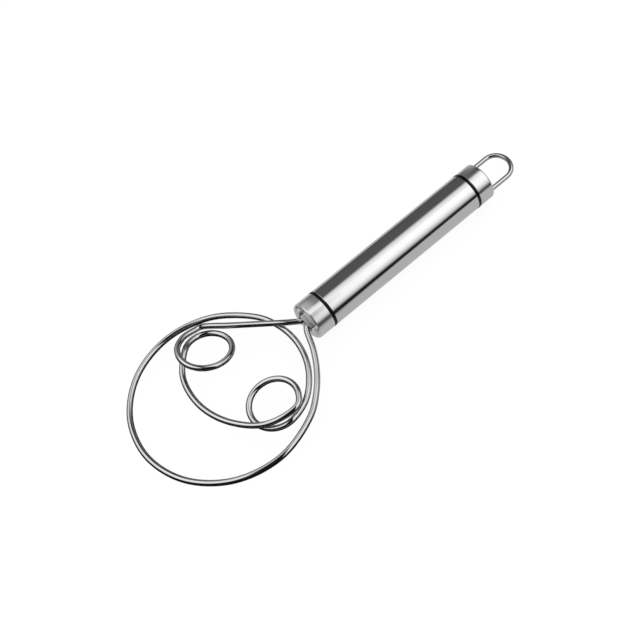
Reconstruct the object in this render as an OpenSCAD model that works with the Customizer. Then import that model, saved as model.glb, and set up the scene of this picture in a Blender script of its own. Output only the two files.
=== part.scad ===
// Dough whisk: one bent wire head on a round steel handle with a hanging loop.
// X runs along the handle, towards the hanging loop. Z is square to the plane of the head.
// The origin is on the handle's axis, at the middle of the barrel.

/* [Handle] */
// Outside diameter of the barrel and both caps
handle_d = 20; // [16:0.5:28]
// Length of the barrel tube
barrel_len = 94.5; // [70:0.5:140]
// Wall of the barrel tube
barrel_wall = 0.8; // [0.6:0.1:1.5]
// Wall of both caps
cap_wall = 0.8; // [0.6:0.1:1.5]
// Radial clearance of a pressed joint
press_gap = 0.05; // [0.02:0.01:0.1]

/* [Plugs] */
// Width of the black ring at each seam
band_w = 1.6; // [1:0.1:3]
// Height of the black ring above the barrel
band_proud = 0.15; // [0.05:0.05:0.4]
// Length of the plug's neck inside the barrel
plug_neck = 9; // [6:0.5:20]
// Bore in the plug's neck
plug_bore = 13; // [8:0.5:14]
// Thickness of the closed end of the plug
plug_web = 2.5; // [1.5:0.5:4]

/* [Front cap] */
// Length of the front cap
front_cap_len = 10.4; // [10:0.1:16]
// Radius of the front cap's rounded end
front_edge = 2.2; // [1:0.1:4]
// Thickness of the front cap's closed end
front_end = 3.4; // [2.5:0.1:4]
// Turn of the mouth about the handle, from the head's upper side
mouth_turn = 20; // [0:1:40]
// Depth of the step pressed into the front cap's mouth
mouth_depth = 1.7; // [1:0.1:2]
// Width of the step at the cap's rim
mouth_w = 14.4; // [12:0.2:16]
// Width of the step at its lower side
mouth_low_w = 10; // [9.4:0.2:12]
// Height above the wires' line at which the step's sides turn in
mouth_shoulder = 6; // [4:0.5:7]
// How far the step reaches below the wires' line
mouth_low = 2.7; // [2.6:0.1:4]

/* [Wire clamp] */
// Wall of the clamp block around the wires
clamp_wall = 0.8; // [0.6:0.1:1.2]
// How far the clamp block stands out of the front cap
clamp_proud = 0.3; // [0.1:0.1:1]
// Thickness of the clamp's round flange
clamp_flange = 2; // [1.5:0.1:3]
// Radial clearance of a wire in its bore
wire_gap = 0.05; // [0.02:0.01:0.1]

/* [Head wire] */
// Diameter of the head wire
wire_d = 3; // [2.4:0.1:3.4]
// Centre line diameter of the big ring
ring_d = 90.2; // [84:0.2:110]
// Sideways shift of the ring's centre
ring_shift = -0.7; // [-2:0.1:2]
// Level of the big ring below the handle's axis
ring_drop = 1.7; // [1:0.1:3]
// Distance from the front cap to the big ring's circle
neck = 8.2; // [7:0.1:12]
// Gap between the wire's two ends in the clamp
root_gap = 0.6; // [0.4:0.1:1]
// Clear gap between one level of the wire and the next
coil_gap = 0.5; // [0.45:0.05:1]
// Clear gap between the big ring and its inner pass
pass_gap = 1.4; // [1:0.1:3]
// Centre line diameter of the right loop
right_d = 24.7; // [22:0.1:28]
// Gap from the right loop's centre line to the big ring's
right_in = 6.1; // [5:0.1:8]
// Centre line diameter of the left loop's outer pass
left_d = 27.9; // [25:0.1:30]
// Centre line radius where the left loop starts
left_start = 11.3; // [10:0.1:12]
// Gap from the left loop's centre line to the big ring's
left_in = 7.2; // [6:0.1:9]
// How much smaller the inner arc's radius is than the ring's
arc_in = 5.3; // [4:0.1:7]

/* [Rear cap] */
// Length of the rear cap
rear_cap_len = 9; // [8:0.5:16]
// Radius of the rear cap's rounded edge
rear_edge = 1; // [0.4:0.1:2]
// Thickness of the rear cap's closed end
rear_end = 1.2; // [0.8:0.1:2]
// Thickness of the plate that holds the hanging loop
retainer_len = 4; // [2.5:0.5:5]

/* [Hanging loop] */
// Diameter of the hanging loop's wire
loop_wire_d = 2.5; // [2:0.1:3]
// Distance between the centres of the two legs
loop_w = 15.2; // [12:0.1:15.4]
// Reach of the loop's outer side beyond the rear cap
loop_out = 19.6; // [14:0.1:30]
// Turn of the loop about the handle, from the head's plane
loop_turn = 6; // [0:1:90]

/* [Hidden] */

fn_round = 96;
fn_bore = 48;
// The cutters reach past what they cut by this much.
over = 1;
handle_r = handle_d / 2;
tube_in = handle_r - barrel_wall;
cap_in = handle_r - cap_wall;
band_r = handle_r + band_proud;

// Places along the handle's axis
barrel_end = barrel_len / 2;
cap_seat = barrel_end + band_w;
face_x = -(cap_seat + front_cap_len);
flange_x = face_x + front_end;
flange_back = flange_x + clamp_flange;
block_x = face_x - clamp_proud;
rear_x = cap_seat + rear_cap_len;
retainer_back = rear_x - rear_end;
retainer_x = retainer_back - retainer_len;

// Clamp block and its passage through the front cap
root_half = (wire_d + root_gap) / 2;
block_w = 2 * (root_half + wire_d / 2 + clamp_wall);
block_h = wire_d + 2 * clamp_wall;
front_round = min(front_edge, handle_r - cap_wall);

// Hanging loop
loop_bend = loop_w / 2;
loop_tip = rear_x + loop_out - loop_wire_d / 2;
loop_bend_x = loop_tip - loop_bend;
loop_hole = loop_wire_d + 2 * wire_gap;

// The head wire's route. Angles are clockwise seen from +Z, from the +X direction.
wire_sides = 12;
ring_step = 3;
leg_step = 1;
ring_r = ring_d / 2;
right_r = right_d / 2;
left_r = left_d / 2;
level = wire_d + coil_gap;
pass = wire_d + pass_gap;
ring_z = -ring_drop;

// Where the wire comes down from the clamp and joins the big circle
lead_short = 1.1;
lead_to = 60;
lead_low_at = 27;
lead_power = 2.5;
// Where the wire leaves the big circle for its inner pass
inner_from = 335;
inner_span = 75;
inner_power = 1.7;
// Right loop: its place round the ring, its spiral and its climb
right_at = 55.5;
right_from = 90;
right_to = 420;
right_climb_from = 165;
right_climb_span = 245;
right_round = 0.2;
right_slope = [-0.063, 0.032];
// Left loop: its place round the ring, its spiral and its climb
left_at = 293.4;
left_from = 222;
left_to = 642;
left_climb_from = 208;
turn = 360;
left_slope = [0.254, 0.112];
// Distances of the inner arc's centre from the loops' centres, beyond touching
arc_past_right = 1;
arc_past_left = 0.8;
// The straight stretch from the left loop to the clamp, and the bend before the clamp
leave_out = 0.5;
leave_at = 654;
leave_z = 2.6;
straight_in = [-7.3, 6.8, 1.6];
bend_out = [-3.7, 4.1, 1];
bend_in = [-1.5, 2.5, 0.7];
// The wire's ends stop short of the clamp's back, and run straight out of its front.
end_short = 0.2;
leg_out = 0.1;

function on(c, r, a, z) = [c[0] + r * cos(a), c[1] - r * sin(a), z];
function flat(p) = [p[0], p[1]];
function part_of(a, from, span) = min(1, max(0, (a - from) / span));
function tilt(p, c, slope) = [0, 0, -slope[0] * (p[0] - c[0]) - slope[1] * (p[1] - c[1])];

ring_c = [face_x - neck - ring_r, ring_shift];
right_c = flat(on(ring_c, ring_r - right_r - right_in, right_at, 0));
left_c = flat(on(ring_c, ring_r - left_r - left_in, left_at, 0));

// The inner arc's centre is where two circles about the loops' centres cross.
arc_r = ring_r - arc_in;
arc_to_right = arc_r - right_r + arc_past_right;
arc_to_left = arc_r - left_r + arc_past_left;
apart = norm(left_c - right_c);
across = (left_c - right_c) / apart;
along = (apart * apart + arc_to_right * arc_to_right - arc_to_left * arc_to_left) / (2 * apart);
aside = sqrt(max(0, arc_to_right * arc_to_right - along * along));
arc_c = right_c + across * along + [across[1], -across[0]] * aside;

// The two roots lie side by side in the clamp, on a line turned with the mouth.
root_side = root_half * cos(mouth_turn);
root_low = -root_half * sin(mouth_turn);
wire_end_x = flange_back - end_short;
wire_out_x = block_x - leg_out;
at_face = [face_x, 0, 0];
leave = on(left_c, left_r + leave_out, leave_at, leave_z);

function ring_lead(a) =
    let (r = ring_r + (neck - lead_short) * pow(1 - a / lead_to, lead_power))
    on(ring_c, r, a, root_low + (ring_z - root_low) * part_of(a, 0, lead_low_at));
function inner_pass(a) =
    on(ring_c, ring_r - pass * pow((a - inner_from) / inner_span, inner_power), a, ring_z);
function right_loop(a) =
    let (r = right_r + right_round * (1 - 2 * part_of(a, right_from, right_to - right_from)),
        p = on(right_c, r, a, ring_z + level * part_of(a, right_climb_from, right_climb_span)))
    p + tilt(p, right_c, right_slope);
function left_loop(a) =
    let (r = left_start + (left_r - left_start) * pow(part_of(a, left_from, turn), 2),
        p = on(left_c, r, a, ring_z + level * (1 + part_of(a, left_climb_from, turn))))
    p + tilt(p, left_c, left_slope);

knots = concat(
    [[wire_out_x, -root_side, root_low]],
    [for (a = [3, 14, 27, 42]) ring_lead(a)],
    [for (a = [lead_to:30:330]) on(ring_c, ring_r, a, ring_z)],
    [for (a = [346:16:410]) inner_pass(a)],
    [for (a = [right_from:30:right_to]) right_loop(a)],
    [for (a = [126:26:204]) on(arc_c, arc_r, a, ring_z + level)],
    [for (a = [left_from:30:left_to]) left_loop(a)],
    [for (t = [0, 0.33, 0.66, 1]) leave + (at_face + straight_in - leave) * t],
    [at_face + bend_out, at_face + bend_in, [wire_out_x, root_side, -root_low]]
);
last = len(knots) - 1;

// A smooth curve runs through the knots. It starts and ends along the handle.
pace = [for (i = [0:last - 1]) sqrt(norm(knots[i + 1] - knots[i]))];
function chord(i) = (knots[i + 1] - knots[i]) / pace[i];
function heading(i) = i == 0 ? [-pace[0], 0, 0]
    : i == last ? [pace[last - 1], 0, 0]
    : chord(i) + chord(i - 1) - (knots[i + 1] - knots[i - 1]) / (pace[i] + pace[i - 1]);
function between(i, t) =
    let (a = knots[i], b = knots[i + 1], u = heading(i) * pace[i], v = heading(i + 1) * pace[i])
    a * (2 * t * t * t - 3 * t * t + 1) + u * (t * t * t - 2 * t * t + t)
    + b * (3 * t * t - 2 * t * t * t) + v * (t * t * t - t * t);
function cuts(i) =
    let (finer = i == 0 || i > last - 4)
    max(2, ceil(pace[i] * pace[i] / (finer ? leg_step : ring_step)));

route = concat(
    [[wire_end_x, -root_side, root_low]],
    [for (i = [0:last - 1]) for (k = [0:cuts(i) - 1]) between(i, k / cuts(i))],
    [knots[last], [wire_end_x, root_side, -root_low]]
);
rings = len(route);

// Each ring of the tube is turned from the last one by as little as its heading needs.
function unit(v) = v / norm(v);
function toward(i) = i == 0 || i == 1 ? [-1, 0, 0]
    : i >= rings - 2 ? [1, 0, 0]
    : unit(unit(route[i + 1] - route[i]) + unit(route[i] - route[i - 1]));
function carry(u, t) = unit(u - t * (u * t));
ups = [for (i = 0, u = [0, 0, 1]; i < rings; i = i + 1, u = carry(u, toward(min(i, rings - 1)))) u];
function ring_points(i) =
    let (t = toward(i), u = ups[i], w = cross(t, u))
    [for (k = [0:wire_sides - 1]) let (a = turn * k / wire_sides)
        route[i] + (u * cos(a) + w * sin(a)) * wire_d / 2];

// Least clear gap between passes of the wire, at rings that aren't in the same bend
same_bend = 9;
gaps = [for (i = [0:rings - 1]) for (j = [i + same_bend:1:rings - 1]) norm(route[i] - route[j])];
echo(least_gap = min(gaps) - wire_d, rings = rings);

module along_x(x, len, d) {
    translate([x, 0, 0]) rotate([0, 90, 0]) cylinder(h = len, d = d, $fn = fn_round);
}

module bore_x(x, len, d, y) {
    translate([x, y, 0]) rotate([0, 90, 0]) cylinder(h = len, d = d, $fn = fn_bore);
}

// A round cap with its closed end at x = 0 and its open end at x = len
module cap(len, edge, end) {
    rotate([0, 90, 0]) rotate([0, 0, 90]) difference() {
        rotate_extrude($fn = fn_round) {
            square([handle_r - edge, edge]);
            translate([0, edge]) square([handle_r, len - edge]);
            translate([handle_r - edge, edge]) intersection() {
                circle(edge, $fn = fn_round);
                translate([0, -edge]) square(edge);
            }
        }
        translate([0, 0, end]) cylinder(h = len - end + over, r = cap_in, $fn = fn_round);
    }
}

// The step in the mouth, wider at the rim than below the wires
module mouth_step() {
    rim = handle_r + over;
    wide = mouth_w / 2;
    narrow = mouth_low_w / 2;
    rotate([mouth_turn, 0, 0]) translate([face_x - over, 0, 0]) rotate([90, 0, 90])
        linear_extrude(mouth_depth + over)
        polygon([[-wide, rim], [-wide, mouth_shoulder], [-narrow, -mouth_low],
            [narrow, -mouth_low], [wide, mouth_shoulder], [wide, rim]]);
}

module block(x, len, grow) {
    rotate([mouth_turn, 0, 0]) translate([x, -block_w / 2 - grow, -block_h / 2 - grow])
        cube([len, block_w + 2 * grow, block_h + 2 * grow]);
}

module plug(web_gap) {
    bore_len = plug_neck + band_w + web_gap - plug_web;
    difference() {
        union() {
            along_x(-plug_neck, plug_neck, 2 * (tube_in - press_gap));
            along_x(0, band_w, 2 * band_r);
            along_x(band_w, web_gap, 2 * (cap_in - press_gap));
        }
        along_x(-plug_neck - over, bore_len + over, plug_bore);
    }
}

module head_wire() {
    points = [for (i = [0:rings - 1]) each ring_points(i)];
    sides = [for (i = [0:rings - 2]) for (k = [0:wire_sides - 1]) let (
            a = i * wire_sides + k, b = i * wire_sides + (k + 1) % wire_sides) each
        [[a, a + wire_sides, b + wire_sides], [a, b + wire_sides, b]]];
    first_end = [for (k = [0:wire_sides - 1]) k];
    last_end = [for (k = [wire_sides - 1:-1:0]) (rings - 1) * wire_sides + k];
    color("silver") polyhedron(points, concat([first_end], sides, [last_end]), convexity = 10);
}

module front_cap() {
    color("lightgray") difference() {
        translate([face_x, 0, 0]) cap(front_cap_len, front_round, front_end);
        mouth_step();
        block(face_x - over, front_end + 2 * over, press_gap);
    }
}

module wire_clamp() {
    color("darkgray") difference() {
        union() {
            block(block_x, flange_back - block_x - clamp_flange / 2, 0);
            along_x(flange_x, clamp_flange, 2 * (cap_in - press_gap));
        }
        rotate([mouth_turn, 0, 0]) for (side = [-1, 1])
            bore_x(block_x - over, flange_back - block_x + 2 * over, wire_d + 2 * wire_gap, side * root_half);
    }
}

module front_plug() {
    color("black") mirror([1, 0, 0]) translate([barrel_end, 0, 0])
        plug(-flange_back - cap_seat);
}

module barrel() {
    color("gainsboro") difference() {
        along_x(-barrel_end, barrel_len, handle_d);
        along_x(-barrel_end - over, barrel_len + 2 * over, 2 * tube_in);
    }
}

module rear_plug() {
    color("black") translate([barrel_end, 0, 0]) plug(retainer_x - cap_seat);
}

module leg_holes(x, len) {
    rotate([loop_turn, 0, 0]) for (side = [-1, 1])
        bore_x(x, len, loop_hole, side * loop_w / 2);
}

module rear_cap() {
    color("lightgray") difference() {
        translate([rear_x, 0, 0]) mirror([1, 0, 0]) cap(rear_cap_len, rear_edge, rear_end);
        leg_holes(retainer_back - over, rear_end + 2 * over);
    }
}

module hang_loop() {
    leg_x = retainer_x + press_gap;
    color("silver") rotate([loop_turn, 0, 0]) {
        for (side = [-1, 1])
            bore_x(leg_x, loop_bend_x - leg_x, loop_wire_d, side * loop_w / 2);
        translate([loop_bend_x, 0, 0]) rotate([0, 0, -90]) rotate_extrude(angle = 180, $fn = fn_round)
            translate([loop_bend, 0]) circle(d = loop_wire_d, $fn = fn_bore);
    }
}

module loop_retainer() {
    color("darkgray") difference() {
        along_x(retainer_x, retainer_len, 2 * (cap_in - press_gap));
        leg_holes(retainer_x - over, retainer_len + 2 * over);
    }
}

head_wire();
front_cap();
wire_clamp();
front_plug();
barrel();
rear_plug();
rear_cap();
hang_loop();
loop_retainer();
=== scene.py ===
# %% [markdown]
# # Dough whisk
# One steel wire is bent into a big ring with two small loops inside it, and both its ends are
# held in the cap of a round steel handle. The hard part is the steel: it has hardly any colour
# of its own, so what it reflects makes the picture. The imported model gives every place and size,
# and each piece that shows is made again here as a smooth surface that fits it.

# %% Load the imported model
import math

import bpy
import numpy as np
from mathutils import Matrix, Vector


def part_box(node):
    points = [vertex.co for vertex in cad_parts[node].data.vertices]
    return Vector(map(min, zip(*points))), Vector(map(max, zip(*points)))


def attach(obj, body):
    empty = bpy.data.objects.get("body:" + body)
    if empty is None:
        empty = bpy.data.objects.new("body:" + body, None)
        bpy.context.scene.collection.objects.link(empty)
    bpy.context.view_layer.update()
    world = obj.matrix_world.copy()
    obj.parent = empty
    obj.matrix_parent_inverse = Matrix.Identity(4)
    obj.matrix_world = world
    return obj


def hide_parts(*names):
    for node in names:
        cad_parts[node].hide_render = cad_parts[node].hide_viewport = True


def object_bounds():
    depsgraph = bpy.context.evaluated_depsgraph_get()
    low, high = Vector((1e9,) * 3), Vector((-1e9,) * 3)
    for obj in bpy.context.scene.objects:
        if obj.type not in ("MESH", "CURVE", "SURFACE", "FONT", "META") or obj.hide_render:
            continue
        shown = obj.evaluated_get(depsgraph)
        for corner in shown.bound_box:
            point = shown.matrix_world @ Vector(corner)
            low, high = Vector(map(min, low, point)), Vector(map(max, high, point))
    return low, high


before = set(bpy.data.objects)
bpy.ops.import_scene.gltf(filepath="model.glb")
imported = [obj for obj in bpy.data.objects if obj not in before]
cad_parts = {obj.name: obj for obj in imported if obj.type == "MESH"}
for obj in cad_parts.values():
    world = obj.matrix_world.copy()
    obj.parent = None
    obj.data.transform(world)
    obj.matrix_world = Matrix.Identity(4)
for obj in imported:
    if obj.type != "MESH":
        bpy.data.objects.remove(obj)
cad_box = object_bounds()
MM = 0.001
print("CAD box", cad_box)

# %% [markdown]
# The camera stands over the head's left shoulder and looks down at about 56 degrees. It could be
# placed by eye, but then shape and view would hide each other's errors. So its place and its
# directions are solved: those of a pinhole camera that sees the handle's straight edges and the
# round ring where the photograph shows them. It is rolled a little, as a hand-held one is.

# %% Camera
PHOTO_PX = 640
FOCAL_PX = 1213
AXIS_PX = (308.2, 312.3)
SENSOR_MM = 36
CAMERA_MM = np.array([-191.6, -296.4, 486.0])
LOOK = np.array([0.2338, 0.5110, -0.8272])
RIGHT = np.array([0.7542, -0.6322, -0.1774])


def unit(v):
    """v divided by its length, for one vector or for rows of them."""
    return v / np.linalg.norm(v, axis=-1, keepdims=True)


look = unit(LOOK)
right = unit(RIGHT - look * np.dot(RIGHT, look))
camera_data = bpy.data.cameras.new("camera")
camera_data.sensor_width = SENSOR_MM
camera_data.lens = SENSOR_MM * FOCAL_PX / PHOTO_PX
camera_data.shift_x = 0.5 - AXIS_PX[0] / PHOTO_PX
camera_data.shift_y = AXIS_PX[1] / PHOTO_PX - 0.5
camera_data.clip_start = 0.01
camera = bpy.data.objects.new("camera", camera_data)
bpy.context.scene.collection.objects.link(camera)
pose = np.eye(4)
pose[:3, :3] = np.column_stack([right, np.cross(right, look), -look])
pose[:3, 3] = CAMERA_MM * MM
camera.matrix_world = Matrix(pose.tolist())
bpy.context.scene.camera = camera
bpy.context.scene.view_settings.view_transform = "Standard"
print("lens", round(camera_data.lens, 2), "mm")

# %% [markdown]
# Every surface here is a grid of points worked out with numpy: ring after ring of points, joined
# by quads. Blender's cylinders and bevelled curves could start most of them, but on a grid each
# point lies exactly where a formula puts it. One function makes the mesh from such a grid, and
# sees to it that its faces point outwards, so each piece only has to say where its points lie.

# %% Surfaces from rings of points
def fan_volume(faces):
    """Six times the volume between the origin and the faces, each cut into a fan of triangles:
    the sum of corner 0 dot (corner i cross corner i + 1). Corners are faces[..., i, :]."""
    return (np.cross(faces[..., 1:-1, :], faces[..., 2:, :]) * faces[..., :1, :]).sum()


def skin(name, rings, loop=False):
    """A closed surface through rings[i, j], in millimetres. Ring i joins ring i + 1, and the ends
    are closed by a flat face each, or the last ring joins the first when loop is true."""
    count, sides = rings.shape[:2]
    rows = np.arange(count if loop else count - 1)[:, None] * sides
    cols = np.arange(sides)[None, :]
    after = (cols + 1) % sides
    ahead = (rows + sides) % (count * sides)
    quads = np.stack([rows + cols, rows + after, ahead + after, ahead + cols], -1).reshape(-1, 4)
    ends = [] if loop else [np.arange(sides)[::-1], np.arange(sides) + (count - 1) * sides]
    points = rings.reshape(-1, 3) * MM
    volume = fan_volume(points[quads]) + sum(fan_volume(points[end]) for end in ends)
    way = 1 if volume > 0 else -1
    mesh = bpy.data.meshes.new(name)
    mesh.from_pydata(points.tolist(), [],
                     quads[:, ::way].tolist() + [end[::way].tolist() for end in ends])
    mesh.validate()
    piece = bpy.data.objects.new(name, mesh)
    bpy.context.scene.collection.objects.link(piece)
    return piece


def smooth(piece, angle=32):
    """Shades faces smoothly, and keeps edges sharper than angle, in degrees, crisp."""
    mesh = piece.data
    mesh.polygons.foreach_set("use_smooth", np.ones(len(mesh.polygons), bool))
    mesh.set_sharp_from_angle(angle=math.radians(angle))
    mesh.update()
    return piece


# %% [markdown]
# The handle lies along X with its middle at the origin, and the head is on its minus side. The
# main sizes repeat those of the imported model, and one of them is held against it here.

# %% Sizes in millimetres
HANDLE_R = 10.0
WALL = 0.8
EASE = 0.05
BARREL_END = 47.25
BAND_W = 1.6
BAND_R = 10.14
FRONT_CAP_LEN = 10.4
FRONT_EDGE = 2.2
FRONT_END = 3.4
FLANGE_LEN = 2.0
FRONT_SEAT = -(BARREL_END + BAND_W)
FACE = FRONT_SEAT - FRONT_CAP_LEN
FLANGE_BACK = FACE + FRONT_END + FLANGE_LEN
REAR_CAP_LEN = 9.0
REAR_EDGE = 1.0
REAR_END = 1.2
REAR_SEAT = BARREL_END + BAND_W
REAR = REAR_SEAT + REAR_CAP_LEN
MOUTH_TURN = 20.0
lowest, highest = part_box("front_cap")
print("front cap face", round(lowest.x / MM, 3), "expected", FACE)

# %% [markdown]
# The wire's route follows the bends that a wire former makes: out of the clamp and round the big
# ring, drawn in a little for an inner pass, once round the right loop, over the head on a shallow
# arc, one and a sixth times round the left loop, and straight back over everything to the clamp.
# Each pass lies one wire's thickness above the last, so the wire never runs through itself.
#
# A Bezier curve bent by hand could follow the photograph, but its bends would never be quite
# round, as a former's are. All turns go the same way seen from above, so one helper places points
# on any of the circles by their angle, clockwise from +X. The loops' centres are given from the
# ring's centre, the same way.

# %% Head wire: circles that it follows
WIRE_D = 3.0
RING_R = 45.1
RING_SIDE = -0.7
RING_Z = -1.7
NECK = 8.2
LEVEL = WIRE_D + 0.5
PASS = WIRE_D + 1.4
RIGHT_R, RIGHT_IN, RIGHT_AT = 12.35, 6.1, 55.5
LEFT_R, LEFT_IN, LEFT_AT = 13.95, 7.2, 293.4
ARC_R = RING_R - 5.3
ARC_PAST_RIGHT, ARC_PAST_LEFT = 1.0, 0.8
ROOT_HALF = (WIRE_D + 0.6) / 2


def on(centre, r, a, z):
    """Points on a circle seen from above: x is the centre's plus r times the angle's cosine, and
    y the centre's minus r times its sine. Angles are in degrees, clockwise from +X."""
    a = np.radians(np.asarray(a, float))
    r, z = np.broadcast_to(r, a.shape), np.broadcast_to(z, a.shape)
    return np.stack([centre[0] + r * np.cos(a), centre[1] - r * np.sin(a), z], -1)


ring_c = np.array([FACE - NECK - RING_R, RING_SIDE])
right_c = on(ring_c, RING_R - RIGHT_R - RIGHT_IN, RIGHT_AT, 0)[:2]
left_c = on(ring_c, RING_R - LEFT_R - LEFT_IN, LEFT_AT, 0)[:2]

# The arc touches both loops, so its centre is where two circles about theirs cross.
to_right = ARC_R - RIGHT_R + ARC_PAST_RIGHT
to_left = ARC_R - LEFT_R + ARC_PAST_LEFT
apart = np.linalg.norm(left_c - right_c)
across = (left_c - right_c) / apart
along = (apart**2 + to_right**2 - to_left**2) / (2 * apart)
aside = math.sqrt(to_right**2 - along**2)
arc_c = right_c + across * along + np.array([across[1], -across[0]]) * aside
print("loop centres", right_c.round(1), left_c.round(1), "arc centre", arc_c.round(1))

# %% [markdown]
# The route is a row of knots on those circles. Angles run on from one circle to the next, and a
# share of an angle range lifts, widens or draws in the wire between two of them.

# %% Head wire: knots
RIGHT_SLOPE = np.array([-0.063, 0.032])
LEFT_SLOPE = np.array([0.254, 0.112])
LEFT_START_R = 11.3


def share(a, start, span):
    """How much of the range from start, span degrees long, the angle has covered, 0 to 1."""
    return np.clip((np.asarray(a, float) - start) / span, 0, 1)


def tilted(points, centre, slope):
    """Points with their height lowered along the slope from the loop's centre."""
    out = points.copy()
    out[:, 2] -= (points[:, :2] - centre) @ slope
    return out


root_side = ROOT_HALF * math.cos(math.radians(MOUTH_TURN))
root_low = -ROOT_HALF * math.sin(math.radians(MOUTH_TURN))
wire_out = FACE - 0.4
wire_end = FLANGE_BACK - 0.2

lead_a = np.array([3, 14, 27, 42])
lead = on(ring_c, RING_R + (NECK - 1.1) * (1 - lead_a / 60) ** 2.5, lead_a,
          root_low + (RING_Z - root_low) * share(lead_a, 0, 27))
ring = on(ring_c, RING_R, np.arange(60, 331, 30), RING_Z)
inner_a = np.arange(346, 411, 16)
inner = on(ring_c, RING_R - PASS * ((inner_a - 335) / 75) ** 1.7, inner_a, RING_Z)
right_a = np.arange(90, 421, 30)
right_r = RIGHT_R + 0.2 * (1 - 2 * share(right_a, 90, 330))
right_z = RING_Z + LEVEL * share(right_a, 165, 245)
right_loop = tilted(on(right_c, right_r, right_a, right_z), right_c, RIGHT_SLOPE)
over_arc = on(arc_c, ARC_R, np.arange(126, 205, 26), RING_Z + LEVEL)
left_a = np.arange(222, 643, 30)
left_r = LEFT_START_R + (LEFT_R - LEFT_START_R) * share(left_a, 222, 360) ** 2
left_z = RING_Z + LEVEL * (1 + share(left_a, 208, 360))
left_loop = tilted(on(left_c, left_r, left_a, left_z), left_c, LEFT_SLOPE)
leave = on(left_c, LEFT_R + 0.5, 654, 2.6)
straight_in = np.array([FACE - 7.3, 6.8, 1.6])
straight = leave + (straight_in - leave) * np.array([[0], [0.33], [0.66], [1]])
into_clamp = [[FACE - 3.7, 4.1, 1.0], [FACE - 1.5, 2.5, 0.7], [wire_out, root_side, -root_low]]
knots = np.vstack([[[wire_out, -root_side, root_low]], lead, ring, inner, right_loop, over_arc,
                   left_loop, straight, into_clamp])
print("knots", len(knots))

# %% [markdown]
# A cubic between neighbours makes one smooth curve of the knots. Pacing it by the square root of
# each chord keeps it from swinging out where a short span meets a long one.

# %% Head wire: the curve
WIRE_STEP = 0.6


def curve_through(knots, step):
    """A cubic from each knot to the next: both knots and both headings there, weighted by the
    Hermite polynomials. A heading is the mean rate of its two chords over the square roots of
    their lengths. The curve leaves along -X and comes back along +X."""
    chord = np.diff(knots, axis=0)
    pace = np.sqrt(np.linalg.norm(chord, axis=1))[:, None]
    rate = chord / pace
    inside = rate[1:] + rate[:-1] - (knots[2:] - knots[:-2]) / (pace[1:] + pace[:-1])
    ends = np.array([[-pace[0, 0], 0, 0], [pace[-1, 0], 0, 0]])
    heading = np.vstack([ends[:1], inside, ends[1:]])
    spans = []
    for i, p in enumerate(pace[:, 0]):
        t = np.linspace(0, 1, max(3, int(p**2 / step)), endpoint=False)[:, None]
        spans.append(knots[i] * (2 * t**3 - 3 * t**2 + 1)
                     + heading[i] * p * (t**3 - 2 * t**2 + t)
                     + knots[i + 1] * (3 * t**2 - 2 * t**3)
                     + heading[i + 1] * p * (t**3 - t**2))
    return np.vstack(spans + [knots[-1:]])


route = np.vstack([[[wire_end, -root_side, root_low]], curve_through(knots, WIRE_STEP),
                   [[wire_end, root_side, -root_low]]])
length = np.linalg.norm(np.diff(route, axis=0), axis=1).sum()
print("head wire", round(length), "mm long")

# %% [markdown]
# A tube needs a pair of side directions at each point of its path. Both wires here lie nearly
# flat, so one direction square to that plane serves for the whole wire: the first side is that
# direction with its share along the heading taken off. So the tube can't twist. A curve with a
# bevel would be shorter to write, but it gives no UV in metres, which the drawn finish follows.

# %% Head wire: the tube
CLEAR = 0.001
WIRE_CREASE = 60


def along_uv(mesh, sides, girth, run):
    """UV in metres: U is a corner's share of the circle times the girth, and V the length of
    wire up to its ring. On the faces that close the circle, U ends at a full turn, not at 0."""
    corner = np.empty(len(mesh.loops), int)
    mesh.loops.foreach_get("vertex_index", corner)
    corners = np.empty(len(mesh.polygons), int)
    mesh.polygons.foreach_get("loop_total", corners)
    face_of = np.repeat(np.arange(len(corners)), corners)
    turn = (corner % sides) / sides
    closes = np.zeros(len(corners), bool)
    np.maximum.at(closes, face_of, turn > 1 - 1.5 / sides)
    turn = turn + (closes[face_of] & (turn == 0))
    uv = mesh.uv_layers.new(name="along")
    uv.data.foreach_set("uv", np.column_stack([turn * girth, run[corner // sides]]).ravel())


def tube(name, path, radius, up, sides=24):
    """A circle of the radius carried along the path: the path's point, plus the radius times
    cosine of one side and sine of the other."""
    up = np.array(up, float)
    heading = unit(np.gradient(path, axis=0))
    heading[1:-1] = unit(unit(path[2:] - path[1:-1]) + unit(path[1:-1] - path[:-2]))
    side = unit(up - heading * (heading @ up)[:, None])
    other = np.cross(heading, side)
    a = np.linspace(0, 2 * math.pi, sides, endpoint=False)[None, :, None]
    rings = path[:, None] + radius * (side[:, None] * np.cos(a) + other[:, None] * np.sin(a))
    piece = skin(name, rings)
    step = np.linalg.norm(np.diff(path, axis=0), axis=1)
    along_uv(piece.data, sides, 2 * math.pi * radius * MM, np.append(0, np.cumsum(step)) * MM)
    return smooth(piece, WIRE_CREASE)


head = tube("whisk_head", route, WIRE_D / 2 - CLEAR, (0, 0, 1))
print("head wire", len(head.data.polygons), "faces")

# %% [markdown]
# The barrel, the plugs and the caps are all round about the handle's axis, so each is a profile
# turned on a lathe, as the real ones are. A Spin of an edge would make the same surface. Smooth
# shading would let a rounded edge darken the whole straight part next to it, so every straight
# part gets one more ring close to each of its ends.

# %% Lathe
def arc(centre, radius, start, end, steps=8):
    """Points of a circular arc in the plane of a profile, angles in degrees from +X."""
    a = np.radians(np.linspace(start, end, steps + 1))
    return [(centre[0] + radius * math.cos(t), centre[1] + radius * math.sin(t)) for t in a]


def held(profile, keep=0.06):
    """The profile with a point close to both ends of each long straight part."""
    points = [profile[0]]
    for p, q in zip(profile, profile[1:]):
        p, q = np.array(p), np.array(q)
        span = np.linalg.norm(q - p)
        if span > 4 * keep:
            points += [tuple(p + (q - p) * keep / span), tuple(q - (q - p) * keep / span)]
        points.append(tuple(q))
    return points


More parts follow.
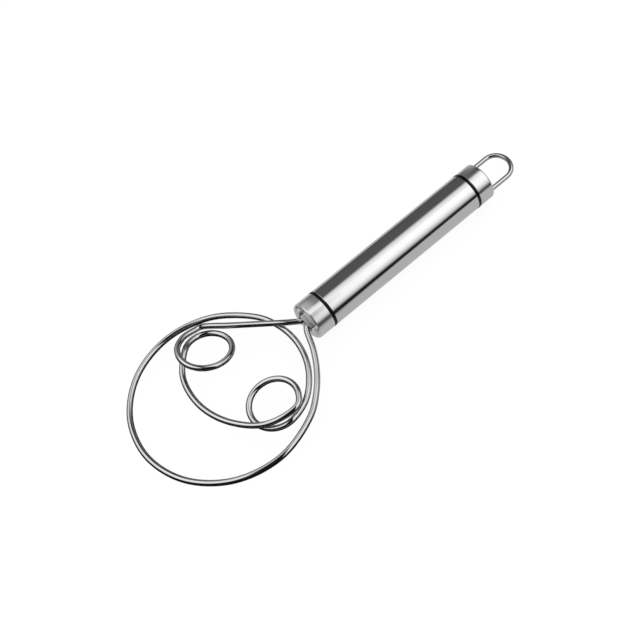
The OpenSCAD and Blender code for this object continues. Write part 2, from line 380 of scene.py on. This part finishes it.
def lathe(name, profile, loop=False, segments=192):
    """The profile's points (x, r) turned about the handle's axis: y is r times the cosine of the
    turn and z is r times its sine."""
    x, r = np.array(held(profile), float).T
    a = np.linspace(0, 2 * math.pi, segments, endpoint=False)
    rings = np.stack([np.broadcast_to(x[:, None], (len(x), segments)),
                      r[:, None] * np.cos(a), r[:, None] * np.sin(a)], -1)
    return skin(name, rings, loop)


# %% [markdown]
# The barrel is a thin tube whose cut ends are lightly broken, so each catches a thin line of
# light. A cylinder with Solidify and Bevel could be it. Here the wall is drawn in the profile, and
# the profile closes on itself, so inside, outside and both ends are one surface.

# %% Barrel
SEAM = 0.12
barrel = smooth(lathe("barrel_tube", [
    (-BARREL_END, HANDLE_R - WALL), (-BARREL_END, HANDLE_R - SEAM),
    *arc((-BARREL_END + SEAM, HANDLE_R - SEAM), SEAM, 180, 90, 4),
    *arc((BARREL_END - SEAM, HANDLE_R - SEAM), SEAM, 90, 0, 4),
    (BARREL_END, HANDLE_R - WALL)], loop=True))
print("barrel", len(barrel.data.polygons), "faces")

# %% [markdown]
# The plugs are black moulded plastic. Only the band between tube and cap shows, and its two
# outer edges are rounded. A thin ring would look the same, but the necks hold the handle
# together, so they are made too, in one profile. Both plugs are one shape, and one is mirrored.

# %% Plugs
BAND_EDGE = 0.3
NECK_LEN = 9.0
NECK_R = HANDLE_R - WALL - EASE
BORE_R = 6.5
WEB = 2.5
RETAINER_X = REAR - REAR_END - 4.0


def plug(name, reach):
    """A plug from inside the barrel out to x = reach: neck, band and short neck, turned. The
    profile is drawn on the plus side, and mirrored where reach is on the minus side."""
    way = math.copysign(1, reach)
    inner, outer = BARREL_END - NECK_LEN, BARREL_END + BAND_W
    profile = [(abs(reach) - WEB, BORE_R), (inner, BORE_R), (inner, NECK_R), (BARREL_END, NECK_R),
               *arc((BARREL_END + BAND_EDGE, BAND_R - BAND_EDGE), BAND_EDGE, 180, 90, 5),
               *arc((outer - BAND_EDGE, BAND_R - BAND_EDGE), BAND_EDGE, 90, 0, 5),
               (outer, NECK_R), (abs(reach), NECK_R)]
    return smooth(lathe(name, [(way * x, r) for x, r in profile]))


front_band = plug("front_plug_black", FLANGE_BACK)
rear_band = plug("rear_plug_black", RETAINER_X)
print("plugs", len(front_band.data.polygons), "and", len(rear_band.data.polygons), "faces")

# %% [markdown]
# Holes and steps that aren't round about the axis are cut with booleans, as a press or a drill
# cuts them. Each cutter is an outline across the handle, carried along it, and reaches a little
# past what it cuts, because two faces in one plane make a boolean fail.

# %% Cutters
OVER = 1.0


def slab(name, outline, x0, x1, turned=0.0):
    """The outline's points (y, z), turned about the handle and carried along X from x0 to x1."""
    c, s = math.cos(math.radians(turned)), math.sin(math.radians(turned))
    y, z = np.array(outline, float).T
    ring = np.stack([y * c - z * s, y * s + z * c], -1)
    rings = np.stack([np.column_stack([np.full(len(ring), x), ring]) for x in (x0, x1)])
    return skin(name, rings)


def round_box(width, height, corner, steps=5):
    """A rectangle with round corners, in the plane across the handle."""
    w, h = width / 2 - corner, height / 2 - corner
    return [*arc((w, h), corner, 0, 90, steps), *arc((-w, h), corner, 90, 180, steps),
            *arc((-w, -h), corner, 180, 270, steps), *arc((w, -h), corner, 270, 360, steps)]


def rod(name, y, diameter, x0, x1, turned=0.0, segments=48):
    """A round cutter along the handle, at y before it is turned about the axis."""
    circle = arc((0, 0), diameter / 2, 0, 360, segments)[:-1]
    return slab(name, [(y + py, pz) for py, pz in circle], x0, x1, turned)


def carve(piece, cutters):
    """Cuts the cutters out of the piece, and removes them."""
    for cutter in cutters:
        cut = piece.modifiers.new("cut", "BOOLEAN")
        cut.operation, cut.solver, cut.object = "DIFFERENCE", "EXACT", cutter
    graph = bpy.context.evaluated_depsgraph_get()
    mesh = bpy.data.meshes.new_from_object(piece.evaluated_get(graph))
    piece.modifiers.clear()
    piece.data = mesh
    for cutter in cutters:
        bpy.data.objects.remove(cutter)
    return smooth(piece)


# %% [markdown]
# The front cap is drawn from sheet, with a round edge of 2.2 mm. Its mouth has a wide step, a
# shallow groove under the step's lip, and a passage with a little room round the clamp block.
# All three are turned by 20 degrees against the head, as the photograph shows. Painted on, the
# mouth would look flat from the side, so it is cut in earnest.

# %% Front cap
MOUTH_DEPTH = 1.7
STEP_SIDE = [(4.6, -2.7), (4.6, 2.8), (7.2, 6.6), (7.2, HANDLE_R + OVER)]
GROOVE_OUT, GROOVE_IN, GROOVE_DEPTH = 9.1, 8.6, 0.7
GROOVE_FROM, GROOVE_TO, GROOVE_STEPS = 43, 137, 24
BLOCK_W = 2 * (ROOT_HALF + WIRE_D / 2 + 0.8)
BLOCK_H = WIRE_D + 1.6
BLOCK_CORNER = 0.3
PASSAGE = 0.7
front_cap = lathe("front_cap_steel", [
    *arc((FACE + FRONT_EDGE, HANDLE_R - FRONT_EDGE), FRONT_EDGE, 180, 90, 16),
    *arc((FRONT_SEAT - SEAM, HANDLE_R - SEAM), SEAM, 90, 0, 4),
    (FRONT_SEAT, HANDLE_R - WALL), (FACE + FRONT_END, HANDLE_R - WALL)])
step_floor = FACE + MOUTH_DEPTH
step = STEP_SIDE + [(-y, z) for y, z in reversed(STEP_SIDE)]
groove = [*arc((0, 0), GROOVE_OUT, GROOVE_FROM, GROOVE_TO, GROOVE_STEPS),
          *arc((0, 0), GROOVE_IN, GROOVE_TO, GROOVE_FROM, GROOVE_STEPS)]
passage = round_box(BLOCK_W + PASSAGE, BLOCK_H + PASSAGE, BLOCK_CORNER)
carve(front_cap, [
    slab("step_cutter", step, FACE - OVER, step_floor, MOUTH_TURN),
    slab("groove_cutter", groove, step_floor - OVER, step_floor + GROOVE_DEPTH, MOUTH_TURN),
    slab("block_cutter", passage, FACE - OVER, FACE + FRONT_END + OVER, MOUTH_TURN)])
print("front cap", len(front_cap.data.polygons), "faces")

# %% [markdown]
# The rear cap has a tight edge and a flat end, with one drilled hole for each leg of the loop.
# The wire could simply run into an uncut end, but the thin dark line round each leg is what
# tells the eye that it goes through.

# %% Rear cap
LOOP_W = 15.2
LOOP_D = 2.5
LOOP_TURN = 6.0
DRILL = 0.1
rear_cap = lathe("rear_cap_steel", [
    *arc((REAR - REAR_EDGE, HANDLE_R - REAR_EDGE), REAR_EDGE, 0, 90, 8),
    *arc((REAR_SEAT + SEAM, HANDLE_R - SEAM), SEAM, 90, 180, 4),
    (REAR_SEAT, HANDLE_R - WALL), (REAR - REAR_END, HANDLE_R - WALL)])
carve(rear_cap, [
    rod("leg_cutter", side * LOOP_W / 2, LOOP_D + DRILL,
        REAR - REAR_END - OVER, REAR + OVER, LOOP_TURN)
    for side in (-1, 1)])
print("rear cap", len(rear_cap.data.polygons), "faces")

# %% [markdown]
# The clamp is a steel block that stands a little out of the mouth, on a round flange behind the
# cap's end. Its edges are broken, and two bores through both hold the wire's ends. A bevelled cube
# could be the block. Rings of one outline, drawn in at the front, break only the edge that shows.

# %% Clamp
BLOCK_EDGE = 0.25
BLOCK_OUT = 0.3
BLOCK_TAIL = 1.0


def block_ring(x, inset):
    """One ring of the block's outline at x, drawn in by inset and turned with the mouth."""
    y, z = np.array(round_box(BLOCK_W - 2 * inset, BLOCK_H - 2 * inset, BLOCK_CORNER)).T
    c, s = math.cos(math.radians(MOUTH_TURN)), math.sin(math.radians(MOUTH_TURN))
    return np.column_stack([np.full(len(y), x), y * c - z * s, y * s + z * c])


block_front = FACE - BLOCK_OUT
flange_x = FACE + FRONT_END
flange_r = HANDLE_R - WALL - EASE
clamp = skin("wire_clamp_block", np.stack([
    block_ring(block_front, BLOCK_EDGE),
    block_ring(block_front + BLOCK_EDGE * 0.3, BLOCK_EDGE * 0.3),
    block_ring(block_front + BLOCK_EDGE, 0),
    block_ring(flange_x + BLOCK_TAIL, 0)]))
flange = lathe("wire_clamp_flange", [
    (flange_x, flange_r - BLOCK_EDGE), (flange_x + BLOCK_EDGE, flange_r),
    (FLANGE_BACK - BLOCK_EDGE, flange_r), (FLANGE_BACK, flange_r - BLOCK_EDGE)])
for piece in (clamp, flange):
    carve(piece, [
        rod("wire_cutter", side * ROOT_HALF, WIRE_D + DRILL,
            block_front - OVER, FLANGE_BACK + OVER, MOUTH_TURN)
        for side in (-1, 1)])
print("clamp", len(clamp.data.polygons), "and", len(flange.data.polygons), "faces")

# %% [markdown]
# The hanging loop is a thinner wire bent round a half circle, with both legs in the rear cap. It
# is made with the head wire's tube. The whole loop is turned by 6 degrees about the handle, and
# so is the direction that its tube starts from.

# %% Hanging loop
LOOP_OUT = 19.59
loop_tip = REAR + LOOP_OUT - LOOP_D / 2
bend_x = loop_tip - LOOP_W / 2
bend = np.array(arc((bend_x, 0), LOOP_W / 2, -90, 90, 48))
legs = np.array([(x, 0) for x in np.linspace(RETAINER_X + EASE, bend_x - 0.5, 12)])
flat_path = np.vstack([legs - (0, LOOP_W / 2), bend, legs[::-1] + (0, LOOP_W / 2)])
c, s = math.cos(math.radians(LOOP_TURN)), math.sin(math.radians(LOOP_TURN))
loop_path = np.column_stack([flat_path[:, 0], flat_path[:, 1] * c, flat_path[:, 1] * s])
hang_loop = tube("hanging_loop", loop_path, LOOP_D / 2, (0, -s, c))
print("hanging loop tip at", round(loop_tip + LOOP_D / 2, 2), "mm")

# %% [markdown]
# Colours are written as sRGB hex values, as a colour picker gives them, and turned to the linear
# values that a shader needs. A node is added with its settings and its links in one call, so a
# material reads from top to bottom like its node tree from left to right.

# %% Colour and node helpers
def linear(hexa):
    """A colour such as "#808080" as linear RGB and full alpha."""
    channels = [int(hexa[i:i + 2], 16) / 255 for i in (1, 3, 5)]
    return tuple(c / 12.92 if c <= 0.04045 else ((c + 0.055) / 1.055) ** 2.4
                 for c in channels) + (1.0,)


def add(tree, kind, settings, inputs):
    """Adds a node with its own settings. An input is a value, or another node's output to link."""
    node = tree.nodes.new(kind)
    for name, value in settings.items():
        setattr(node, name, value)
    for name, value in inputs.items():
        if isinstance(value, bpy.types.NodeSocket):
            tree.links.new(value, node.inputs[name])
        else:
            node.inputs[name].default_value = value
    return node


def new_material(name):
    """A material with an empty node tree, and that tree."""
    material = bpy.data.materials.new(name)
    material.use_nodes = True
    material.node_tree.nodes.clear()
    return material, material.node_tree


def ramp(tree, factor, stops):
    """A colour ramp with grey stops, each a place and an sRGB level from 0 to 255."""
    node = add(tree, "ShaderNodeValToRGB", {}, {"Fac": factor})
    points = node.color_ramp.elements
    while len(points) < len(stops):
        points.new(0.5)
    for point, (place, level) in zip(points, sorted(stops)):
        point.position = place
        point.color = linear("#" + f"{level:02x}" * 3)
    return node.outputs["Color"]


print("mid grey is", round(linear("#808080")[0], 3), "linear")

# %% [markdown]
# Bare steel is a metal shader whose roughness and surface follow fine lines. The lines are noise
# stretched along one direction: many to the metre across it, and few along it. A picture of
# brushed steel would need a file and would show its seam on a round part, and noise has neither
# fault. A second, broad noise makes the gloss a little uneven, as handling does.

# %% Steel
def steel(name, colour, rough, grain, rough_swing, bump_mm, source="Object", haze=0.0):
    """Bare stainless steel. grain is how many lines a metre the finish has along each coordinate,
    rough_swing how much the lines change the gloss, bump_mm how deep they are, and haze the
    share of light that a satin face scatters every way instead of mirroring it."""
    material, tree = new_material(name)
    where = add(tree, "ShaderNodeTexCoord", {}, {}).outputs[source]
    scaled = add(tree, "ShaderNodeMapping", {}, {"Vector": where, "Scale": grain})
    lines = add(tree, "ShaderNodeTexNoise", {}, {
        "Vector": scaled.outputs["Vector"], "Scale": 1.0, "Detail": 3.0, "Roughness": 0.6})
    wear = add(tree, "ShaderNodeTexNoise", {}, {"Vector": where, "Scale": 90.0, "Detail": 2.0})
    mixed = add(tree, "ShaderNodeMath", {"operation": "MULTIPLY_ADD"},
                {0: lines.outputs["Fac"], 1: 0.7, 2: wear.outputs["Fac"]}).outputs[0]
    gloss = add(tree, "ShaderNodeMapRange", {}, {
        "Value": mixed, "From Min": 0.45, "From Max": 1.25,
        "To Min": max(0.02, rough - rough_swing), "To Max": rough + rough_swing})
    bump = add(tree, "ShaderNodeBump", {}, {
        "Strength": 0.35, "Distance": bump_mm * MM, "Height": lines.outputs["Fac"]})
    shader = add(tree, "ShaderNodeBsdfPrincipled", {}, {
        "Base Color": linear(colour), "Metallic": 1.0 - haze,
        "Roughness": gloss.outputs["Result"], "Normal": bump.outputs["Normal"]})
    add(tree, "ShaderNodeOutputMaterial", {}, {"Surface": shader.outputs["BSDF"]})
    return material


# %% [markdown]
# The barrel is stainless tube, polished along its length: the bands it mirrors have clear edges.
# The caps are the same steel, brushed round and round, so their bands are softer. The front one
# is a fine satin, which scatters a tenth of the light and looks a little milky, and the rear one
# is brushed harder. Both wires are drawn bright, with faint lines along them from the die. The
# clamp block is left as it was cut, so it is dull and a shade darker. Real grinding lines lie
# some 0.05 mm apart, which is finer than a pixel here, so each finish is drawn a few times
# coarser: 2500 lines to the metre are 0.4 mm apart.

# %% Steel finishes
ALONG_X = (40, 2500, 2500)
ROUND_X = (3200, 160, 160)
ALONG_WIRE = (2600, 60, 1)
NO_WAY = (900, 900, 900)
polished_tube = steel("polished_stainless_tube", "#ebebec", 0.10, ALONG_X, 0.03, 0.004)
front_finish = steel("satin_stainless_front_cap", "#f0f0f1", 0.12, ROUND_X, 0.04, 0.004,
                     haze=0.10)
rear_finish = steel("brushed_stainless_rear_cap", "#ececed", 0.18, ROUND_X, 0.04, 0.004,
                    haze=0.03)
drawn_wire = steel("bright_drawn_wire", "#d2d2d5", 0.07, ALONG_WIRE, 0.03, 0.004, source="UV")
satin_block = steel("satin_stainless_block", "#b4b4b6", 0.34, NO_WAY, 0.06, 0.008)
print("steel finishes", len(bpy.data.materials))

# %% [markdown]
# The plugs are moulded ABS, nearly black and glossy. Moulded gloss is never quite even, so a weak
# noise, 2.5 mm across, moves the roughness and the surface.

# %% Black plastic
black_plastic, tree = new_material("glossy_black_abs")
where = add(tree, "ShaderNodeTexCoord", {}, {}).outputs["Object"]
cloud = add(tree, "ShaderNodeTexNoise", {}, {"Vector": where, "Scale": 400.0, "Detail": 3.0})
gloss = add(tree, "ShaderNodeMapRange", {}, {
    "Value": cloud.outputs["Fac"], "To Min": 0.22, "To Max": 0.36})
bump = add(tree, "ShaderNodeBump", {}, {
    "Strength": 0.2, "Distance": 0.01 * MM, "Height": cloud.outputs["Fac"]})
plastic = add(tree, "ShaderNodeBsdfPrincipled", {}, {
    "Base Color": linear("#050505"), "Specular IOR Level": 0.25,
    "Roughness": gloss.outputs["Result"], "Normal": bump.outputs["Normal"]})
add(tree, "ShaderNodeOutputMaterial", {}, {"Surface": plastic.outputs["BSDF"]})
print("black plastic", len(tree.nodes), "nodes")

# %% [markdown]
# Each row gives a new piece, its material, the finish of the record that it wears and the imported
# solid that it stands for. The piece gets its material and moves with the root body, and the
# imported solid is hidden. The plate inside the rear cap is hidden and its imported shape is right,
# so it stays and only gets a better material.

# %% Give each piece its finish and its body, and hide the node it stands for
ROOT = "root"
pieces = [
    (head, drawn_wire, "wire_steel", "head_wire"),
    (front_cap, front_finish, "cap_steel", "front_cap"),
    (clamp, satin_block, "inner_steel", "wire_clamp"),
    (flange, satin_block, "inner_steel", "wire_clamp"),
    (front_band, black_plastic, "black_plastic", "front_plug"),
    (barrel, polished_tube, "barrel_steel", "barrel"),
    (rear_band, black_plastic, "black_plastic", "rear_plug"),
    (rear_cap, rear_finish, "cap_steel", "rear_cap"),
    (hang_loop, drawn_wire, "wire_steel", "hang_loop"),
]
for piece, material, slot, node in pieces:
    piece.data.materials.clear()
    piece.data.materials.append(material)
    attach(piece, ROOT)
    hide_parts(node)
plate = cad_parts["loop_retainer"]
plate.data.materials.clear()
plate.data.materials.append(satin_block)
print("pieces", len(pieces))

# %% [markdown]
# The floor is a pale sheet that the whisk lies on. The camera sees it as white with a soft shadow.
# Mirrored rays see it otherwise, as painted reflection: under the handle it glows grey, which
# paints the handle's grey underside, and under the head it is nearly black, which paints the wire's
# dark edges. Light Path tells the two kinds of ray apart, so the object itself gets no extra light
# from either.

# %% Floor
FLOOR_SIZE = 3.0
PAPER = (0.92, 0.92, 0.92, 1)
# Painted reflection: the second level is the floor's near-black as mirrored rays see it, and the
# third is its grey glow for them under the handle.
CARD, MIRROR_DARK, MIRROR_GLOW = 0.1, 0.015, 0.52
ALONG_HANDLE, TOWARDS_BACK = (1.0, 0.0, 0.0), (0.6, 0.8, 0.0)
half, floor_z = FLOOR_SIZE / 2, cad_box[0][2]
floor_mesh = bpy.data.meshes.new("floor")
floor_mesh.from_pydata([(-half, -half, floor_z), (half, -half, floor_z),
                        (half, half, floor_z), (-half, half, floor_z)], [], [(0, 1, 2, 3)])
floor = bpy.data.objects.new("floor", floor_mesh)
bpy.context.scene.collection.objects.link(floor)
paper, tree = new_material("floor_paper")
path = add(tree, "ShaderNodeLightPath", {}, {})
where = add(tree, "ShaderNodeTexCoord", {}, {}).outputs["Object"]


def fades_in(direction, low, high):
    """Nought to one, as the floor's place along a direction goes from low to high, in metres."""
    place = add(tree, "ShaderNodeVectorMath", {"operation": "DOT_PRODUCT"},
                {0: where, 1: direction}).outputs["Value"]
    return add(tree, "ShaderNodeMapRange", {}, {
        "Value": place, "From Min": low, "From Max": high}).outputs["Result"]


# Painted reflection: a mask of where mirrored rays see the floor glow grey, under the handle. Under
# the head they see it nearly black, which paints the wire's dark edges.
mirror_glow_mask = add(tree, "ShaderNodeMath", {"operation": "MULTIPLY"}, {
    0: fades_in(ALONG_HANDLE, -0.085, -0.060), 1: fades_in(TOWARDS_BACK, -0.11, -0.05)})
bent = add(tree, "ShaderNodeMath", {"operation": "ADD"}, {
    0: path.outputs["Is Glossy Ray"], 1: path.outputs["Is Transmission Ray"]})
mirrored = add(tree, "ShaderNodeMath", {"operation": "MULTIPLY"}, {
    0: mirror_glow_mask.outputs[0], 1: bent.outputs[0]})
shown = add(tree, "ShaderNodeMath", {"operation": "MULTIPLY_ADD"}, {
    0: mirrored.outputs[0], 1: MIRROR_GLOW, 2: path.outputs["Is Camera Ray"]})
card_and_mirror_dark = add(tree, "ShaderNodeMath", {"operation": "MULTIPLY_ADD"}, {
    0: path.outputs["Is Glossy Ray"], 1: MIRROR_DARK - CARD, 2: CARD})
card = add(tree, "ShaderNodeBsdfDiffuse", {}, {"Color": card_and_mirror_dark.outputs[0]})
glow = add(tree, "ShaderNodeEmission", {}, {"Strength": shown.outputs[0], "Color": PAPER})
both = add(tree, "ShaderNodeAddShader", {}, {0: card.outputs[0], 1: glow.outputs[0]})
add(tree, "ShaderNodeOutputMaterial", {}, {"Surface": both.outputs[0]})
floor_mesh.materials.append(paper)
print("floor at", round(floor_z / MM, 2), "mm")

# %% [markdown]
# Steel shows the room, and here the room is a studio. Two large lamps shine from overhead, one
# to the left of the whisk and one to the right, and between and beyond them the room is dark.
# Wire and handle show both lamps as bright bands with dark bands between them. Towards the
# horizon the room falls to nearly black, which draws the thin dark line along the handle. A grey
# wall stands far beyond the whisk. Only mirrored rays see this room. The diffuse light is even,
# so colours render as they are written.
#
# A panorama picture is the usual way to such a room, and lamp objects are another. Here each lamp
# is cut out of the sky by soft edges, which needs no file, and lights nothing but the mirror
# image. An edge is a direction and the range, in cosines of the angle to it, over which the light
# comes up.

# %% Room light
LAMPS = 1.25
DARK_ROOM = 0.012
LEFT_EDGES = [((-0.935, 0.350, -0.070), -0.08, 0.02), ((-0.246, 0.447, 0.860), 0.62, 0.84)]
RIGHT_EDGES = [((0.977, 0.082, -0.199), 0.00, 0.05), ((-0.172, -0.829, 0.531), 0.0, 0.3),
               ((-0.130, -0.515, -0.847), -0.975, -0.90)]
WALL_EDGE = ((0.0, 1.0, 0.0), 0.6, 0.95)
WALL_GREY = "#a0a0a0"
HORIZON = [(0.0, 16), (0.13, 20), (0.19, 75), (0.27, 152), (0.39, 196), (0.55, 228), (0.72, 250)]
world = bpy.data.worlds.new("studio")
bpy.context.scene.world = world
world.use_nodes = True
tree = world.node_tree
tree.nodes.clear()
way = add(tree, "ShaderNodeTexCoord", {}, {}).outputs["Generated"]


def rises(direction, low, high):
    """Nought to one, as the ray's share along a direction goes from low to high."""
    along = add(tree, "ShaderNodeVectorMath", {"operation": "DOT_PRODUCT"},
                {0: way, 1: direction}).outputs["Value"]
    return add(tree, "ShaderNodeMapRange", {"interpolation_type": "SMOOTHSTEP"}, {
        "Value": along, "From Min": low, "From Max": high}).outputs["Result"]


def math_of(operation, a, b):
    """The output of a Math node on two values."""
    return add(tree, "ShaderNodeMath", {"operation": operation}, {0: a, 1: b}).outputs[0]


def lamp(edges):
    """The product of all the lamp's edges: one inside it and nought outside."""
    light = rises(*edges[0])
    for edge in edges[1:]:
        light = math_of("MULTIPLY", light, rises(*edge))
    return light


room = math_of("MAXIMUM", math_of("MAXIMUM", lamp(LEFT_EDGES), lamp(RIGHT_EDGES)), DARK_ROOM)
height = add(tree, "ShaderNodeSeparateXYZ", {}, {"Vector": way}).outputs["Z"]
room = add(tree, "ShaderNodeMix", {"data_type": "RGBA", "blend_type": "MULTIPLY"}, {
    "Factor": 1.0, "A": room, "B": ramp(tree, height, HORIZON)}).outputs["Result"]
room = add(tree, "ShaderNodeMix", {"data_type": "RGBA"}, {
    "Factor": rises(*WALL_EDGE), "A": room, "B": linear(WALL_GREY)}).outputs["Result"]
path = add(tree, "ShaderNodeLightPath", {}, {})
even = add(tree, "ShaderNodeBackground", {}, {"Color": (1, 1, 1, 1), "Strength": 1.0})
lamps = add(tree, "ShaderNodeBackground", {}, {"Color": room, "Strength": LAMPS})
seen = add(tree, "ShaderNodeMixShader", {}, {
    0: path.outputs["Is Glossy Ray"], 1: even.outputs[0], 2: lamps.outputs[0]})
add(tree, "ShaderNodeOutputWorld", {}, {"Surface": seen.outputs[0]})
print("room", len(tree.nodes), "nodes")

# %% [markdown]
# A dark board hangs close beyond the handle, curved about it. It glows with its own tone, which is
# painted reflection. The barrel and the rear cap mirror it as the dark band along their far side,
# and its tone fades in towards the lamps. Its last 20 mm towards the head are paler, and those are
# what the front cap mirrors. The head stands clear of it. Camera, diffuse and shadow rays don't see
# it, so it changes nothing but reflections.

# %% Dark board: its shape
BOARD_R = 110
BOARD_X = (-48, 100)
BOARD_FROM, BOARD_TO = -12, 95
BOARD_STEPS = 48
a = np.radians(np.linspace(BOARD_FROM, BOARD_TO, BOARD_STEPS + 1))
edges = [np.column_stack([np.full(len(a), x), BOARD_R * np.sin(a), BOARD_R * np.cos(a)])
         for x in BOARD_X]
i = np.arange(BOARD_STEPS)
board_mesh = bpy.data.meshes.new("board")
board_mesh.from_pydata(
    (np.vstack(edges) * MM).tolist(), [],
    np.column_stack([i, i + 1, i + BOARD_STEPS + 2, i + BOARD_STEPS + 1]).tolist())
board = bpy.data.objects.new("board", board_mesh)
bpy.context.scene.collection.objects.link(board)
board.visible_camera = board.visible_diffuse = board.visible_shadow = False
print("board", len(board_mesh.polygons), "faces")

# %% [markdown]
# The board's tone is a painted reflection that follows the angle round it, from its near edge over
# the handle to its far one down behind it: white at first, painted as if the lamps shone on it
# there, and then dark.

# %% Dark board: its tone
DARK_TONE = [(0.0, 255), (0.065, 252), (0.11, 245), (0.165, 230), (0.215, 202), (0.265, 134),
             (0.30, 84), (1.0, 82)]
PALE_TONE = [(0.0, 255), (0.11, 248), (0.20, 235), (0.26, 200), (0.30, 178), (0.7, 170),
             (0.85, 125), (1.0, 115)]
PALE_TO, DARK_FROM = -0.030, -0.026
board_glow, tree = new_material("board_painted_reflection")
where = add(tree, "ShaderNodeTexCoord", {}, {}).outputs["Object"]
where = add(tree, "ShaderNodeSeparateXYZ", {}, {"Vector": where})
angle = add(tree, "ShaderNodeMath", {"operation": "ARCTAN2"}, {
    0: where.outputs["Y"], 1: where.outputs["Z"]}).outputs[0]
placed = add(tree, "ShaderNodeMapRange", {}, {
    "Value": angle, "From Min": math.radians(BOARD_FROM),
    "From Max": math.radians(BOARD_TO)}).outputs["Result"]
dark_end = add(tree, "ShaderNodeMapRange", {}, {
    "Value": where.outputs["X"], "From Min": PALE_TO, "From Max": DARK_FROM}).outputs["Result"]
tone = add(tree, "ShaderNodeMix", {"data_type": "RGBA"}, {
    "Factor": dark_end, "A": ramp(tree, placed, PALE_TONE),
    "B": ramp(tree, placed, DARK_TONE)}).outputs["Result"]
# Painted reflection: the board glows in its tone, and only mirrored rays see it.
shine = add(tree, "ShaderNodeEmission", {}, {"Color": tone})
add(tree, "ShaderNodeOutputMaterial", {}, {"Surface": shine.outputs[0]})
board_mesh.materials.append(board_glow)
print("board tone", len(tree.nodes), "nodes")
